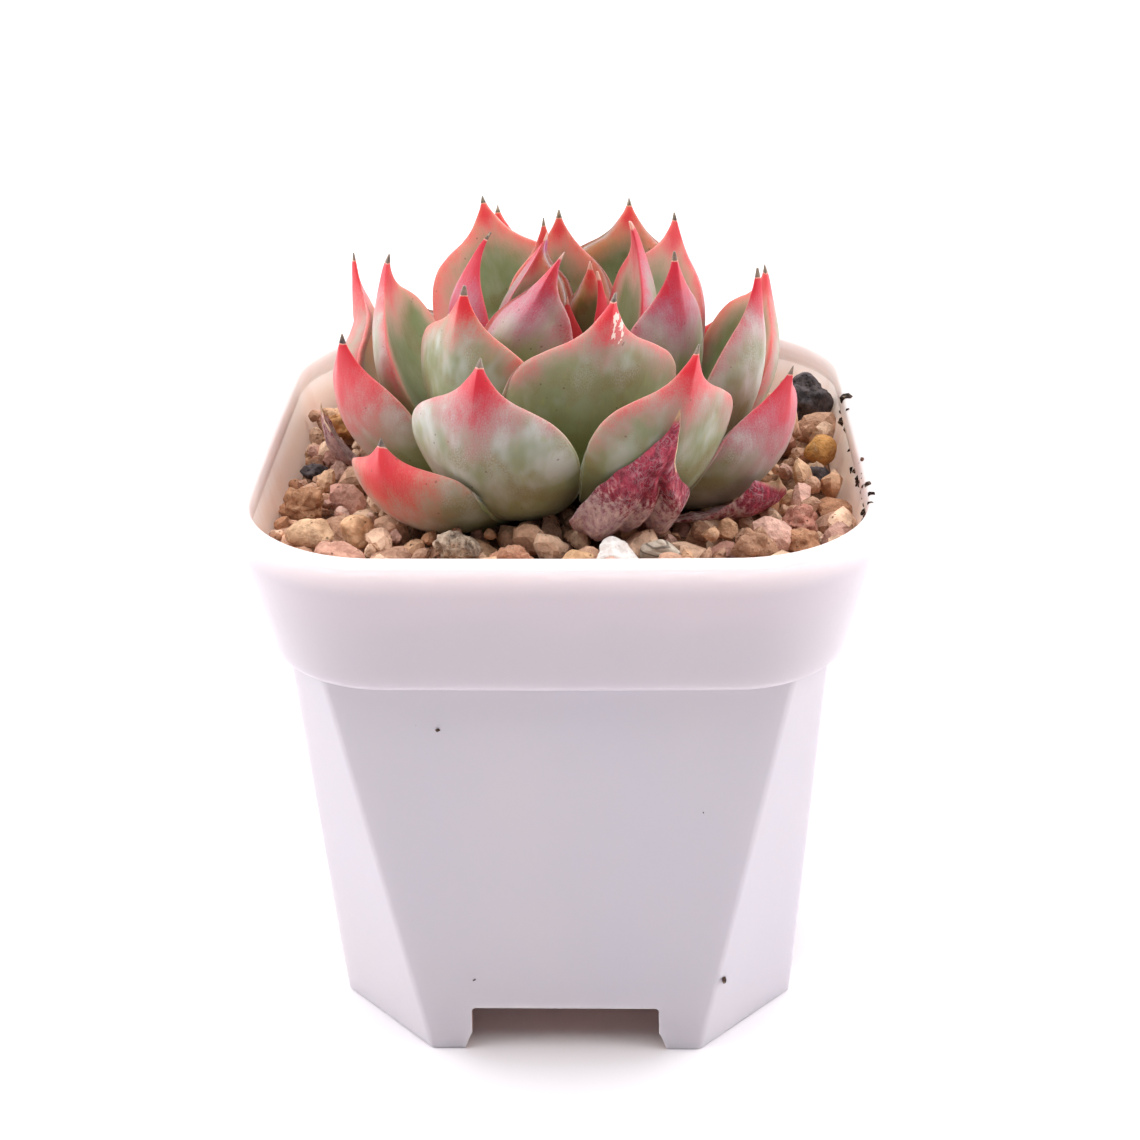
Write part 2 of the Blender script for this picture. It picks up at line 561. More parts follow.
class Blade:
    """A leaf as a midrib curve with a frame along it, a width and a thickness.

    The midrib is a cubic curve that leaves its base almost level and then turns up to the tip.
    side points across the leaf and inward towards the stem. A place on the skin is a share along
    the leaf and an angle round its section, 0 and 180 degrees at the margins."""

    # The shares of its thickness above and below the midrib, how far its margins curl up, as a
    # share of its half width, and how much of its underside near the tip is a keel.
    ABOVE, BELOW, CUPPED, KEELED = 0.28, 0.72, 0.25, 0.55

    def __init__(self, along, start, end, facing, width, blunt, swing, bulge, thickness):
        facing = math.radians(facing)
        outward = np.array((math.cos(facing), math.sin(facing), 0.0))
        rise = end[2] - start[2]
        level = start + (end - start) * (0.8, 0.8, 0) + (0, 0, 0.5)
        below = end + outward * bulge - (0, 0, 0.42 * rise)
        t = along[:, None]
        self.along = along
        self.midrib = ((1 - t) ** 3 * start + 3 * (1 - t) ** 2 * t * level
                       + 3 * (1 - t) * t * t * below + t ** 3 * end)
        self.run = unit((1 - t) ** 2 * (level - start) + 2 * (1 - t) * t * (below - level)
                        + t * t * (end - below))
        across = np.array((-math.sin(facing), math.cos(facing), 0.0))
        self.side = unit(across - self.run * (self.run @ across)[:, None])
        self.inward = np.cross(self.run, self.side)
        self.midrib += self.side * (4 * swing * along * (1 - along))[:, None]
        closing = np.sqrt(np.clip(along / 0.03, 0, 1))
        profile = (1 - blunt) * smooth_curve(SLENDER, along) + blunt * smooth_curve(BROAD, along)
        self.half_width = profile * closing * width / 2 + 0.02
        self.thickness = smooth_curve(FATNESS, along) * closing * thickness
        self.cupping = self.CUPPED * np.sin(math.pi * along) ** 0.6 * self.half_width
        steps = np.linalg.norm(np.diff(self.midrib, axis=0), axis=1)
        self.from_tip = np.append(np.cumsum(steps[::-1])[::-1], 0.0)

    def upper(self, across, station=slice(None)):
        """Height of the upper face above the midrib, at a share across from -1 to 1."""
        dome = np.clip(1 - across ** 2, 0, 1) ** 0.62
        return self.cupping[station] * across ** 2 + self.ABOVE * self.thickness[station] * dome

    def lower(self, across):
        """Depth of the underside, which is full in the middle and keeled near the tip."""
        keel = self.KEELED * ease(self.along, 0.55, 0.9)
        dome = np.clip(1 - across ** 2, 0, 1) ** 0.56
        dome = (1 - keel) * dome + keel * (1 - np.abs(across)) ** 1.1
        return self.cupping * across ** 2 - self.BELOW * self.thickness * dome

    def skin(self, angles, pushed=0.0, thinned=0.0):
        """Points of the whole skin, one ring for each share along. pushed moves a place away
        from the stem, and thinned does so on the upper face only."""
        angles = angles[:, None]
        across = np.cos(angles)
        above = np.sin(angles) > 0
        rise = np.where(above, self.upper(across) - thinned, self.lower(across)) - pushed
        points = (self.midrib + self.side * (self.half_width * across)[..., None]
                  + self.inward * rise[..., None])
        return np.swapaxes(points, 0, 1)

    def outward(self, angles):
        """The direction away from the midrib at every place on the skin."""
        angles = angles[None, :, None]
        return self.side[:, None] * np.cos(angles) + self.inward[:, None] * np.sin(angles)


def neighbours(grid):
    """The grid and its eight copies moved by one cell, its edges repeated."""
    padded = np.pad(grid, 1, mode="edge")
    rows, columns = grid.shape
    return np.array([padded[a:a + rows, b:b + columns] for a in range(3) for b in range(3)])


def room_needed(blade, inner):
    """How far the upper face has to move out to clear the leaves inside it.

    Each point of an inner leaf's underside is placed at the nearest station of the midrib, across
    it and above it. Where it lies below the upper face, the face needs that much more room. The
    deepest need in each cell spreads to its neighbours, less FADE each time, and is smoothed."""
    need = np.zeros((PRESS_ANGLES, len(blade.along)))
    station = ((inner[:, None] - blade.midrib) ** 2).sum(axis=-1).argmin(axis=1)
    offset = inner - blade.midrib[station]
    across = (offset * blade.side[station]).sum(axis=-1) / blade.half_width[station]
    across = np.clip(across, -1.05, 1.05)
    push = blade.upper(across, station) - (offset * blade.inward[station]).sum(axis=-1)
    beyond = np.abs((offset * blade.run[station]).sum(axis=-1))
    pressed = (np.abs(across) < 1.04) & (beyond < 1.0) & (push > -PRESS_GAP)
    pressed &= push < DEEPEST_PRESS
    column = np.arccos(np.clip(across, -1, 1)) / math.pi * (PRESS_ANGLES - 1)
    cell = (np.rint(column[pressed]).astype(int), station[pressed])
    np.maximum.at(need, cell, push[pressed] + PRESS_GAP)
    for _ in range(4):
        need = np.maximum(need, neighbours(need).max(axis=0) - FADE)
    for _ in range(2):
        need = neighbours(need).mean(axis=0)
    return need


def finer(grid, rows, columns):
    """The same grid drawn with more rows and columns, straight between the old ones."""
    for size in (rows, columns):
        place = np.linspace(0, grid.shape[0] - 1, size)[:, None]
        weights = np.clip(1 - np.abs(place - np.arange(grid.shape[0])), 0, None)
        grid = (weights @ grid).T
    return grid


def leaf_ends(name):
    """Where a leaf starts on the stem, and its tip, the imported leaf's highest point. The older
    the leaf, the further out its tip stands and the lower down it starts."""
    corners = np.array([corner.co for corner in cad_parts[name].data.vertices]) / MM
    tip = corners[corners[:, 2].argmax()] + TIP_SHIFT.get(name, (0, 0, 0))
    reach = np.linalg.norm((tip - AXIS)[:2])
    start = AXIS + unit((tip - AXIS) * (1, 1, 0)) * (START_OUT[0] + START_OUT[1] * reach)
    start[2] = STEM_TOP - START_DOWN[0] - START_DOWN[1] * reach
    return start, tip


def write_attributes(mesh, rings, around, values):
    """Stores each value, a number or an array (rings, around) or one with a last axis of three,
    at the points of a closed skin. A pole takes the mean of the ring beside it."""
    for name, value in values.items():
        value = np.asarray(value, float)
        wide = value.shape[2:]
        grid = np.broadcast_to(value, (rings, around, *wide)).reshape(rings, around, -1)
        full = np.concatenate([grid[:1].mean(axis=1), grid.reshape(rings * around, -1),
                               grid[-1:].mean(axis=1)])
        kind = ("FLOAT_VECTOR", "vector") if wide else ("FLOAT", "value")
        attribute = mesh.attributes.new(name, kind[0], "POINT")
        attribute.data.foreach_set(kind[1], full.astype(np.float32).ravel())


def leaf_colouring(blade, angles, seed, hardness, scarred, flush, rim, reach, mauve, bloom):
    """What the leaf material reads at each point of a leaf.

    blush is 1 at the tip and falls to nothing where the red ends, and half of it stays along the
    margins. upper is 1 on the face towards the stem. low is 1 at the base. dry is the thorn's
    hardness at the tip. scar is 1 in the middle of a crust of dried sap below the tip.
    leaf_place is the place on the leaf in millimetres: across, along and a seed."""
    across = np.cos(angles)[None]
    half = blade.half_width[:, None]
    lateral = half * across
    from_tip = blade.from_tip[:, None]
    share = from_tip / blade.from_tip[0]
    upper = ease(np.sin(angles), -0.15, 0.15)[None] + 0 * half
    down = 1 - (from_tip + 0.5 * np.abs(lateral)) / flush
    edge = 0.36 + 0.1 * upper + 0.25 * mauve * max(1 - 2 * bloom, 0)
    edge = edge - 0.45 * (half - np.abs(lateral)) / rim - 0.8 * ease(share, reach - 0.4, reach)
    return {
        "blush": np.maximum(np.maximum(down, edge), -0.5),
        "upper": upper,
        "low": ease(share, 0.22, 0.68) + 0 * lateral,
        "dry": hardness * ease(from_tip, THORN, 0.6 * THORN) + 0 * lateral,
        "scar": scarred * np.exp(-((lateral - SCAR_PLACE[0]) / SCAR_SIZE[0]) ** 2
                                 - ((from_tip - SCAR_PLACE[1]) / SCAR_SIZE[1]) ** 2),
        "mauve": mauve,
        "bloom": bloom,
        "leaf_place": np.stack([lateral, from_tip + 0 * lateral, seed + 3.0 * upper], axis=-1),
    }


def stored(tree, *names):
    """The place on a leaf, and the values of these names, as its mesh stores them."""
    place = node(tree, "Attribute", attribute_name="leaf_place").output("Vector")
    return place, *(node(tree, "Attribute", attribute_name=name).output("Fac") for name in names)


def leaf_material():
    """Waxy skin: grey-green bloom below and plain green above, and red that spreads down from
    the tip and the margins in fine streaks and specks, through salmon or mauve."""
    material, tree = new_material(
        "leaf_skin", Subsurface_Weight=0.35, Subsurface_Scale=0.003,
        Subsurface_Radius=(0.85, 0.75, 0.55), Specular_IOR_Level=0.4,
        Sheen_Weight=0.12, Sheen_Roughness=0.5)
    place, blush, upper, low, dry, scar, mauve, bloom = stored(
        tree, "blush", "upper", "low", "dry", "scar", "mauve", "bloom")
    streaks = noise(place, (3.6, 0.9, 1.0), 3.0, 0.6)
    specks = noise(place, (7.0, 5.0, 1.0), 2.0, 0.6)
    patches = noise(place, (0.30, 0.18, 1.0))
    drift = noise(place, (0.45, 0.35, 2.0), 1.0)
    fine = noise(place, (1.4, 0.6, 1.0), 3.0, 0.6)
    stained = noise(place, (0.22, 0.17, 3.0), 2.0, 0.55)

    # The skin without its red: bloom on the underside, green above, browner at the foot.
    wax = maths("SUBTRACT", bloom + spread(patches, 0.3, 0.7, -0.65, 0.15), low * 0.9,
                use_clamp=True)
    green = spread(fine, 0.45, 0.75, 0.0, 0.5) * spread(drift, 0.4, 0.6)
    under = coated(paint(136, 144, 108), (wax, paint(200, 203, 200)), (green, paint(158, 162, 104)))
    above = coated(paint(132, 154, 100), (spread(patches, 0.3, 0.7), paint(166, 178, 140)),
                   (mauve, paint(112, 112, 74)))
    foot = blend(spread(bloom, 0.8, 0.95), paint(148, 154, 100), paint(186, 172, 140))
    stain = spread(stained, 0.48, 0.62, 0.0, 0.75) * spread(specks, 0.35, 0.65, 0.3, 1.0)
    body = coated(under, (upper, above), (low * 0.6, foot), (stain, paint(134, 122, 76)))

    # The red in three steps, each paler on the upper face, where light shines through the leaf.
    ragged = (spread(streaks, 0.25, 0.75, -0.05, 0.05) + spread(specks, 0.25, 0.75, -0.08, 0.08)
              + spread(drift, 0.3, 0.7, -0.08, 0.08))
    red = blush + ragged * spread(upper, 0.0, 1.0, 1.0, 0.5)
    glow = upper * 0.85
    soft = coated(paint(160, 124, 102), (bloom, paint(196, 146, 128)),
                  (mauve, paint(178, 138, 152)),
                  (glow, blend(mauve, paint(238, 188, 166), paint(196, 150, 132))))
    middle = coated(paint(208, 98, 88), (mauve, paint(180, 88, 112)),
                    (glow, blend(mauve, paint(255, 160, 154), paint(192, 92, 92))))
    deep = coated(paint(212, 42, 52), (mauve, paint(194, 38, 62)),
                  (glow, blend(mauve, paint(252, 92, 100), paint(178, 34, 54))))

    # Small brown dots, the dried sap of the scar, and the thorn with its pale rind.
    dots = node(tree, "TexVoronoi", Vector=place, Scale=0.85)
    dot = maths("LESS_THAN", dots, spread(dots.output("Color"), 0.62, 0.63) * 0.10)
    sap = scar + spread(fine, 0.35, 0.65, -0.75, 0.2)
    rind = dry + spread(streaks, 0.3, 0.7, -0.1, 0.1)
    dried = spread(rind, 0.45, 0.7)
    crust = blend(spread(fine, 0.35, 0.65), paint(66, 58, 60), paint(122, 106, 100))
    colour = coated(body,
                    (spread(red, -0.15, 0.3, 0.0, 0.8), soft), (spread(red, 0.15, 0.52), middle),
                    (spread(red + upper * 0.08, 0.4, 0.74), deep),
                    (dot * 0.55, paint(92, 60, 44)),
                    (spread(sap, 0.34, 0.44, 0.0, 0.85), paint(236, 222, 212)),
                    (spread(rind, 0.15, 0.4, 0.0, 0.55), paint(232, 196, 176)),
                    (dried, crust))
    return finished(material, colour, fine + specks * 0.25, 0.25, 0.0002,
                    spread(fine, 0.3, 0.7, 0.4, 0.52) + dried * 0.35)


leaf_skin = leaf_material()
leaf_angles = np.arange(LEAF_AROUND) * 2 * math.pi / LEAF_AROUND
half_turn = LEAF_AROUND // 2
fold = np.abs(np.arange(LEAF_AROUND) - LEAF_AROUND * (np.arange(LEAF_AROUND) > half_turn))
undersides = [np.zeros((0, 3))]


def pressed_skin(fine, coarse, give):
    """The skin of a blade after the leaves inside it have pressed on it. It gets thinner by up to
    this share of its thickness, and bends out for the rest."""
    asked = finer(room_needed(coarse, np.concatenate(undersides)), half_turn + 1, LEAF_RINGS)[fold]
    thinned = np.minimum(asked, give * fine.thickness)
    return fine.skin(leaf_angles, asked - thinned, thinned)


def add_leaf(name, prefix, skin, material, slot, values):
    """Makes a piece of a leaf's skin, and keeps its underside for the leaves that come after."""
    mesh = new_mesh(prefix + name, closed_skin(skin), wrap_faces(LEAF_RINGS, LEAF_AROUND))
    write_attributes(mesh, LEAF_RINGS, LEAF_AROUND, values)
    add_piece(mesh, material, slot, name)
    undersides.append(skin[::COARSE, half_turn::2].reshape(-1, 3))


for seed, (name, (facing, width, blunt, swing, bulge, *look)) in enumerate(LEAVES.items()):
    shape = (*leaf_ends(name), facing, width, blunt, swing, bulge, THINNEST + THICKENING * width)
    fine, coarse = (Blade(along_leaf(LEAF_RINGS)[::step], *shape) for step in (1, COARSE))
    skin = pressed_skin(fine, coarse, LEAF_GIVE)
    skin += UNEVEN * fine.outward(leaf_angles) * lumps(skin, 5.0, seed)[..., None]
    hardness = SOFT_HARDNESS if name in SOFT_TIPS else 1.0
    add_leaf(name, "leaf_", skin, leaf_skin, "leaf",
             leaf_colouring(fine, leaf_angles, 40.0 * seed, hardness, name == SCARRED_LEAF, *look))

# ---------------------------------------------------------------- the withered leaves
# Three spent leaves at the foot of the rosette. They have dried to thin, crumpled skins, dark
# crimson with a net of pale veins, and still hold on at their bases.

# Name: base and tip (millimetres), direction the underside faces, width, bluntness, sideways
# swing, bulge and thickness, how deep the skin is crumpled, and how faded it is, from -1 to 1.
WITHERED = {
    "withered_front": ((7.4, -13.0, 65.5), (13.6, -22.9, 83.9), -80, 11.0, 0.3, 0.0, 1.0, 1.5,
                       0.45, 0.0),
    "withered_right": ((12.5, -13.6, 66.2), (25.4, -13.0, 71.4), -62, 6.4, 0.9, 0.0, 0.5, 1.8,
                       0.4, -0.4),
    "withered_left": ((-24.0, 2.0, 66.0), (-30.0, 3.4, 74.3), -170, 5.0, 0.2, 0.0, 0.0, 1.2,
                      0.35, 0.6),
}
# The front one has shrunk unevenly. Share along it, half-width, and how far its middle has
# moved to the right (millimetres).
SHRUNK = np.array(((0, 5.4, -0.4), (.25, 6.6, -3.6), (.4, 5.9, -3.2), (.5, 5.6, -2.8),
                   (.545, 5.2, -2.8), (.59, 4.2, -2.9), (.65, 3.4, -2.9), (.72, 2.3, -2.3),
                   (.8, 1.5, -1.5), (.9, 0.6, -0.5), (1, 0.05, 0)))
# Lengthwise folds: each one's place across, its width as a share of the half width, and its
# depth (millimetres).
FOLDS = ((-0.5, 0.25, 0.7), (-0.1, 0.10, -0.5), (0.36, 0.12, -1.5), (0.68, 0.2, 1.0))
WITHERED_GIVE = 0.3


def shrink(blade):
    """Gives a blade the uneven outline of the front withered leaf."""
    blade.half_width = smooth_curve(SHRUNK[:, :2], blade.along)
    blade.midrib += blade.side * np.interp(blade.along, SHRUNK[:, 0], SHRUNK[:, 2])[:, None]


def folded(blade, across):
    """The lift of the folds, each a smooth bump across the leaf, strongest in its lower half."""
    lift = sum(depth * np.exp(-((across - middle) / width) ** 2)
               for middle, width, depth in FOLDS)
    return lift * ease(blade.along, 0.0, 0.2)[:, None] * ease(blade.along, 0.8, 0.5)[:, None]


def withered_material():
    """Dry skin, crimson towards the tip and greyish lilac below, with pale raised veins."""
    material, tree = new_material("withered_skin", Roughness=0.65, Specular_IOR_Level=0.35,
                                  Subsurface_Weight=0.15, Subsurface_Scale=0.001)
    place, low, dry, rim, faded = stored(tree, "low", "dry", "rim", "faded")
    bent = node(tree, "TexNoise", Vector=place, Scale=0.7, Detail=2.0).output("Color")
    net = node(tree, "VectorMath", bent, (2.2, 2.2, 0.0), place, operation="MULTIPLY_ADD")
    cells = node(tree, "TexVoronoi", feature="DISTANCE_TO_EDGE", Scale=1.0,
                 Vector=scaled(net, (1.5, 0.75, 1.0)))
    ridges = maths("ABSOLUTE", noise(place, (1.4, 0.8, 1.0), 4.0, 0.7) - 0.5)
    veins = (maths("MAXIMUM", spread(cells, 0.07, 0.0), spread(ridges, 0.035, 0.0))
             * spread(noise(place, 0.5), 0.35, 0.65, 0.05, 0.5))
    mottle = noise(place, (1.8, 1.0, 1.0), 4.0, 0.65)
    mottled = spread(mottle, 0.3, 0.7)
    crimson = blend(mottled, paint(112, 22, 42), paint(186, 62, 86))
    lilac = blend(mottled, paint(160, 116, 122), paint(218, 188, 180))
    greyed = low + faded + spread(mottle, 0.3, 0.7, -0.3, 0.3)
    cream = spread(rim + spread(mottle, 0.3, 0.7, -0.2, 0.2), 0.5, 0.75)
    colour = coated(crimson, (spread(greyed, 0.3, 0.8), lilac), (veins, paint(222, 184, 192)),
                    (cream * 0.85, paint(236, 206, 172)), (dry, paint(172, 138, 106)))
    return finished(material, colour, veins * 0.6 + mottle, 0.8, 0.0004)


withered_skin = withered_material()
for seed, (name, (start, tip, *shape, crumple, faded)) in enumerate(WITHERED.items()):
    shape = (np.array(start), np.array(tip), *shape)
    fine, coarse = (Blade(along_leaf(LEAF_RINGS)[::step], *shape) for step in (1, COARSE))
    across = np.cos(leaf_angles)[None]
    fold_lift = 0.0
    if name == "withered_front":
        shrink(fine)
        shrink(coarse)
        fold_lift = folded(fine, across)
    skin = pressed_skin(fine, coarse, WITHERED_GIVE)
    creases = (0.6 - 1.2 * np.abs(lumps(skin, 3.2, seed + 60))) + lumps(skin, 1.3, seed + 70) * 0.4
    fading = ease(fine.along, 0.0, 0.15) * ease(fine.along, 1.0, 0.85)
    lift = crumple * creases * fading[:, None] - fold_lift
    skin += fine.inward[:, None] * lift[..., None]
    lateral = fine.half_width[:, None] * across
    from_tip = fine.from_tip[:, None] + 0 * lateral
    add_leaf(name, "dry_", skin, withered_skin, "withered_leaf", {
        "low": ease(fine.along, 0.72, 0.3)[:, None] + 0 * lateral,
        "dry": ease(from_tip, 1.8, 0.8),
        "rim": ease(across, 0.8, 0.99) * ease(fine.along, 0.55, 0.75)[:, None],
        "faded": faded,
        "leaf_place": np.stack([lateral, from_tip, 900.0 + 40 * seed + 0 * lateral], axis=-1)})

# ---------------------------------------------------------------- the grit bed
# The pot is filled with a gritty mix. Its surface lies under the loose grains, in their shade,
# and is hollowed where the leaves' undersides come down to it.

BED_LEVEL = 64.0
BED_RIPPLE = 0.6
BED_INSET = WALL + 0.35
BED_TOP_RINGS = 40
LEAF_CLEARANCE = 0.4
DEEPEST_HOLLOW = 1.5
# The map of the leaves' undersides: its cells, its half width, and its height where no leaf is.
MAP_CELL, MAP_HALF, NO_LEAF = 0.75, 40.0, 200.0


def leaf_floor_map():
    """The lowest leaf height over each cell of a square map, with each cell taking the lowest of
    its neighbours too."""
    size = int(2 * MAP_HALF / MAP_CELL)
    lowest = np.full((size, size), NO_LEAF)
    points = np.concatenate(undersides)
    cell = ((points[:, :2] + MAP_HALF) / MAP_CELL).astype(int)
    np.minimum.at(lowest, (cell[:, 0], cell[:, 1]), points[:, 2])
    return neighbours(lowest).min(axis=0)


leaf_floor = leaf_floor_map()


def lowest_leaf(x, y):
    """How high the leaves begin over these places."""
    cell = (np.stack([x, y]) + MAP_HALF) / MAP_CELL
    return leaf_floor[tuple(np.clip(cell, 0, len(leaf_floor) - 1).astype(int))]


def bed_height(points):
    """The bed's surface: level with ripples, and lower under the leaves."""
    level = BED_LEVEL + BED_RIPPLE * lumps(points * (1, 1, 0), 3.0, 8)
    hollow = np.minimum(level, lowest_leaf(points[..., 0], points[..., 1]) - LEAF_CLEARANCE)
    return np.maximum(hollow, BED_LEVEL - DEEPEST_HOLLOW)


def grit_material(name, darker):
    """Broken fired clay: each grain has its own tint, mottled, dusty and full of small pores."""
    material, tree = new_material(name, Specular_IOR_Level=0.2, Roughness=0.9)
    place = node(tree, "TexCoord").output("Object")
    tint = node(tree, "Attribute", attribute_name="tint").output("Color")
    mottle = noise(place, 520.0, 5.0, 0.62)
    fine = noise(place, 2400.0, 3.0, 0.6)
    pores = node(tree, "TexVoronoi", Vector=place, Scale=1500.0)
    pits = spread(pores, 0.28, 0.05) * spread(mottle, 0.5, 0.62)
    shade = blend(spread(mottle, 0.3, 0.7), (darker, darker * 0.94, darker * 0.9, 1),
                  (1.22, 1.22, 1.2, 1))
    colour = coated(scaled(tint, shade),
                    (spread(fine, 0.52, 0.72, 0.0, 0.35), paint(232, 204, 176)),
                    (pits * 0.6, paint(92, 62, 46)))
    return finished(material, colour, mottle + fine * 0.3 - pits * 0.5, 1.0, 0.0007)


def write_tint(mesh, colours):
    """Stores a colour for each point, or one for the whole mesh."""
    colours = np.broadcast_to(np.asarray(colours, np.float32), (len(mesh.vertices), 4))
    mesh.attributes.new("tint", "FLOAT_COLOR", "POINT").data.foreach_set("color", colours.ravel())


def bed_levels():
    """The bed's side follows the pot's inner wall; its top and bottom shrink to the middle."""
    shares = np.linspace(0.04, 0.97, BED_TOP_RINGS)
    top = np.repeat(band_level(BED_LEVEL, BED_INSET), len(shares), axis=1)
    top *= np.stack([np.ones(len(shares)), shares[::-1], shares[::-1], shares[::-1]])
    return np.hstack([
        floor_levels(FLOOR_TOP + 0.3, BED_INSET + 1.0, shares[::4]),
        body_level(np.linspace(FLOOR_TOP + 1.3, BAND_BOTTOM - 0.6, 10), BED_INSET),
        band_level(np.linspace(BAND_BOTTOM + 2.0, BED_LEVEL - 1.2, 4), BED_INSET),
        top,
    ])


bed_rings = section(*bed_levels())
bed_rings[-BED_TOP_RINGS:, :, 2] = bed_height(bed_rings[-BED_TOP_RINGS:])
bed_mesh = new_mesh("grit_fill", closed_skin(bed_rings), wrap_faces(*bed_rings.shape[:2]))
write_tint(bed_mesh, paint(150, 112, 88))
grit = grit_material("grit_bed", 0.55)
add_piece(bed_mesh, grit, "grit", "grit_bed")

# ---------------------------------------------------------------- the larger stones
# The pieces that stand out on the grit: broken clay and buff stone, a grey-brown lava pebble,
# a white lump of perlite, a flat striped stone, and black chips of charcoal and bark.

# Name: slot, sideways lean and turn (degrees), number of broken faces, sharpness of their edges,
# depth of the roughness and its size (millimetres), and colour.
STONES = {
    "lava_pebble": ("lava", 10, 20, 10, 5, 0.35, 1.3, (166, 150, 132)),
    "perlite_lump": ("perlite", 0, 0, 12, 3, 0.3, 1.2, (252, 248, 244)),
    "striped_stone": ("grey_stone", 0, -10, 8, 16, 0.12, 1.8, (178, 162, 142)),
    "charcoal_stone": ("charcoal", 10, 40, 8, 12, 0.15, 1.0, (84, 80, 84)),
    "bark_chip": ("charcoal", -15, 20, 7, 24, 0.25, 1.2, (80, 68, 70)),
    "dark_chip": ("charcoal", 5, 30, 7, 12, 0.2, 1.0, (70, 62, 56)),
    "pink_stone": ("tan_stone", 6, -14, 9, 14, 0.25, 1.2, (206, 158, 140)),
    "buff_stone_left": ("tan_stone", -8, 6, 9, 16, 0.18, 1.6, (226, 190, 156)),
    "buff_stone_front": ("tan_stone", 10, 30, 8, 16, 0.2, 1.4, (228, 184, 146)),
    "tan_stone_left": ("tan_stone", 0, 0, 9, 14, 0.5, 1.3, (188, 142, 110)),
    "porous_stone": ("tan_stone", 4, -8, 10, 9, 0.5, 1.1, (206, 154, 128)),
    "slanted_chip": ("tan_stone", -38, 25, 8, 18, 0.14, 1.4, (218, 176, 138)),
    "tan_stone_right": ("tan_stone", 10, 20, 7, 18, 0.5, 1.4, (172, 132, 108)),
    "brown_stone_right": ("tan_stone", -6, -20, 7, 18, 0.55, 1.5, (190, 142, 112)),
    "rose_stone": ("tan_stone", 0, 15, 9, 14, 0.5, 1.2, (196, 138, 122)),
    "orange_stone": ("tan_stone", 0, 0, 10, 8, 0.15, 1.6, (214, 158, 96)),
    "ochre_stone_left": ("tan_stone", 0, 0, 9, 12, 0.45, 1.3, (208, 154, 104)),
}
STONE_RINGS, STONE_AROUND = 44, 60
# The least angle of a sharp edge, in degrees, and the radius of the ball that a stone is cut from.
STONE_EDGE, LONGEST_REACH = 40, 1.15


def ball_directions(rings, around):
    """Unit directions over a ball in the order of wrap_faces, from straight down to straight up."""
    tilt = np.linspace(-90, 90, rings + 2)[1:-1, None]
    turn = np.arange(around)[None] * 360 / around
    tilt, turn = np.radians(np.broadcast_arrays(tilt, turn))
    ring = np.stack([np.cos(tilt) * np.cos(turn), np.cos(tilt) * np.sin(turn), np.sin(tilt)], -1)
    return np.concatenate([[(0, 0, -1)], ring.reshape(-1, 3), [(0, 0, 1)]])


def broken_radius(directions, normals, distances, sharpness):
    """How far a stone broken along flat faces reaches in each direction.

    Each face stops the ray at its distance over the cosine to its normal, and a ball stops it
    anyway. The nearest stop counts, through a high power mean, so that the edges are a little
    rounded."""
    facing = np.clip(directions @ np.swapaxes(normals, -1, -2), 0, None)
    return (LONGEST_REACH ** -sharpness
            + ((facing / distances[..., None, :]) ** sharpness).sum(axis=-1)) ** (-1 / sharpness)


def turn_matrix(lean, turn):
    """Leans a stone about Y and then turns it about Z, in degrees."""
    return np.array(Matrix.Rotation(math.radians(turn), 3, "Z")
                    @ Matrix.Rotation(math.radians(lean), 3, "Y"))


def stone_points(directions, low, high, lean, turn, faces, sharpness, rough, grain, draw):
    """A broken stone that fills the box from low to high and is then leant and turned in it."""
    normals = unit(draw.normal(size=(faces, 3)))
    distances = draw.uniform(0.72, 1.0, faces)
    points = directions * broken_radius(directions, normals, distances, sharpness)[:, None]
    points *= (high - low) / np.ptp(points, axis=0)
    seed = draw.integers(100)
    points += directions * rough * (1.6 * np.abs(lumps(points, grain, seed)) - 0.5
                                    + 0.6 * lumps(points, grain / 2.3, seed + 1))[:, None]
    return points @ turn_matrix(lean, turn).T + (low + high) / 2


def special_shape(name, points, directions):
    """The stones with a shape of their own: pits in lava, curds on perlite, a thick ragged chip
    of bark, and grooves in the striped stone."""
    if name == "lava_pebble":
        return points - directions * 0.45 * ease(lumps(points, 0.8, 31), 0.25, 0.6)[:, None]
    if name == "perlite_lump":
        return points + directions * 0.9 * (0.5 - np.abs(lumps(points, 1.5, 33)))[:, None]
    if name == "bark_chip":
        ragged = 1.1 * np.abs(lumps(points, 2.2, 37)) - 0.2
        return points + (3.6, 0.0, 0.4) + directions * (0.4 + ragged)[:, None]
    if name == "striped_stone":
        wave = points[:, 2] + 0.25 * points[:, 0] + 0.3 * lumps(points, 2.0, 35)
        return points - directions * 0.10 * ease(np.sin(wave * 7.0), 0.6, 0.95)[:, None]
    return points


def pebble_material(name, light, dark, scale, strength):
    """Plain stone in two tones with a rough, pitted skin."""
    material, tree = new_material(name, Roughness=0.85, Specular_IOR_Level=0.3)
    place = node(tree, "TexCoord").output("Object")
    mottle = noise(place, scale, 5.0, 0.65)
    pits = spread(node(tree, "TexVoronoi", Vector=place, Scale=scale * 3), 0.35, 0.1)
    colour = coated(dark, (spread(mottle, 0.35, 0.65), light), (pits * 0.3, dark))
    return finished(material, colour, mottle - pits * 0.4, strength, 0.0004)


def striped_material():
    """Grey-brown stone with dark wavy grooves."""
    material, tree = new_material("striped_stone", Roughness=0.8)
    place = node(tree, "TexCoord").output("Object")
    bands = node(tree, "TexWave", bands_direction="Z", Vector=place, Scale=330.0, Distortion=2.5,
                 Detail=3.0, Detail_Scale=1.2).output("Fac")
    mottle = noise(place, 900.0, 4.0)
    colour = coated(paint(178, 164, 148), (spread(mottle, 0.3, 0.7), paint(214, 202, 186)),
                    (spread(bands, 0.75, 0.95, 0.0, 0.7), paint(74, 62, 56)))
    return finished(material, colour, mottle, 0.5, 0.0003)


